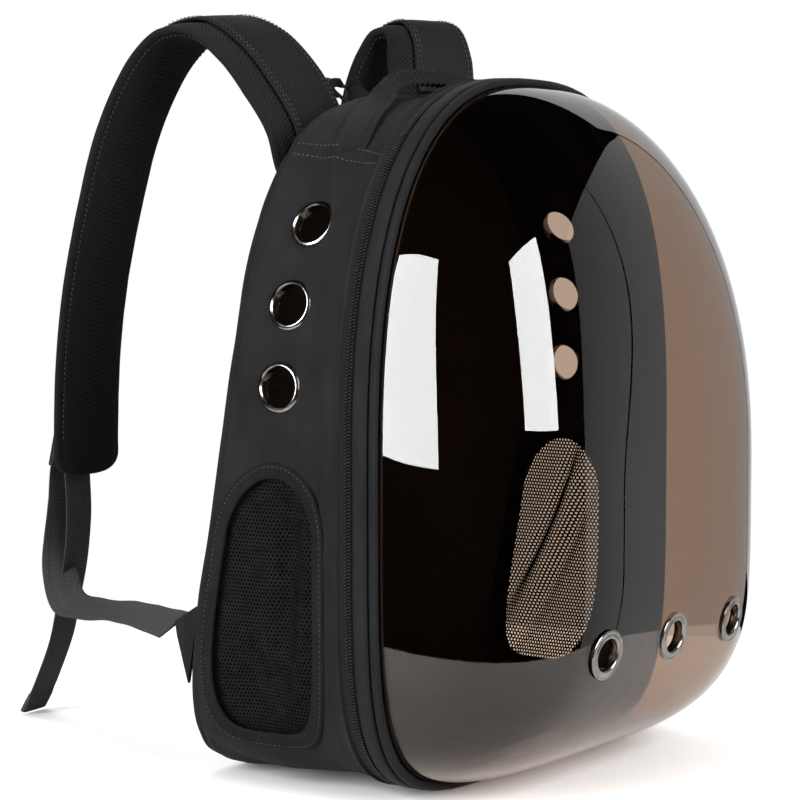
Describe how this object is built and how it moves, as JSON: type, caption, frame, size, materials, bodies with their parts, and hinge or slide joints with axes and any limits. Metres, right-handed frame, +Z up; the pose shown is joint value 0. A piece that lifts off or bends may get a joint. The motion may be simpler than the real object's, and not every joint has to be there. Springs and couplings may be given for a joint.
{
  "type": "pet carrier backpack",
  "caption": "Soft pet carrier worn as a backpack, with a clear domed front, ring vents, mesh side windows, a padded back and two padded shoulder straps.",
  "frame": {"origin": "on the ground, under the middle of the whole object's box", "axes": "+Z up, -Y the way the clear dome faces, +Y towards the wearer's back, +X the side on the right when looking at the dome"},
  "size_m": [0.3436, 0.4804, 0.4766],
  "materials": {
    "cloth": "fine woven polyester, slight sheen",
    "padding": "padded cloth and spacer mesh, matt",
    "webbing": "ribbed woven webbing, slight sheen",
    "mesh": "open hexagonal net",
    "plastic": "moulded, satin",
    "smoked_plastic": "clear, smoky brown, polished",
    "nickel": "polished dark nickel plate"
  },
  "bodies": {
    "root": {"front_piping": "cloth", "front_band": "cloth", "zipper_tape": "webbing", "zipper_coil": "plastic", "left_window_mesh": "mesh", "right_window_mesh": "mesh", "left_window_binding": "cloth", "right_window_binding": "cloth", "gusset": "cloth", "back_panel": "padding", "dome": "smoked_plastic", "left_strap_pad": "padding", "right_strap_pad": "padding", "left_strap_band": "webbing", "right_strap_band": "webbing", "left_buckle": "plastic", "right_buckle": "plastic", "left_webbing": "webbing", "right_webbing": "webbing", "left_strap_tab": "webbing", "right_strap_tab": "webbing", "grab_handle": "webbing", "hanging_loop": "webbing", "zip_slider_upper": "plastic", "zip_slider_lower": "plastic", "left_eyelet_upper": "nickel", "left_eyelet_middle": "nickel", "left_eyelet_lower": "nickel", "right_eyelet_upper": "nickel", "right_eyelet_middle": "nickel", "right_eyelet_lower": "nickel", "dome_eyelet_left": "nickel", "dome_eyelet_centre": "nickel", "dome_eyelet_right": "nickel"}
  },
  "joints": []
}
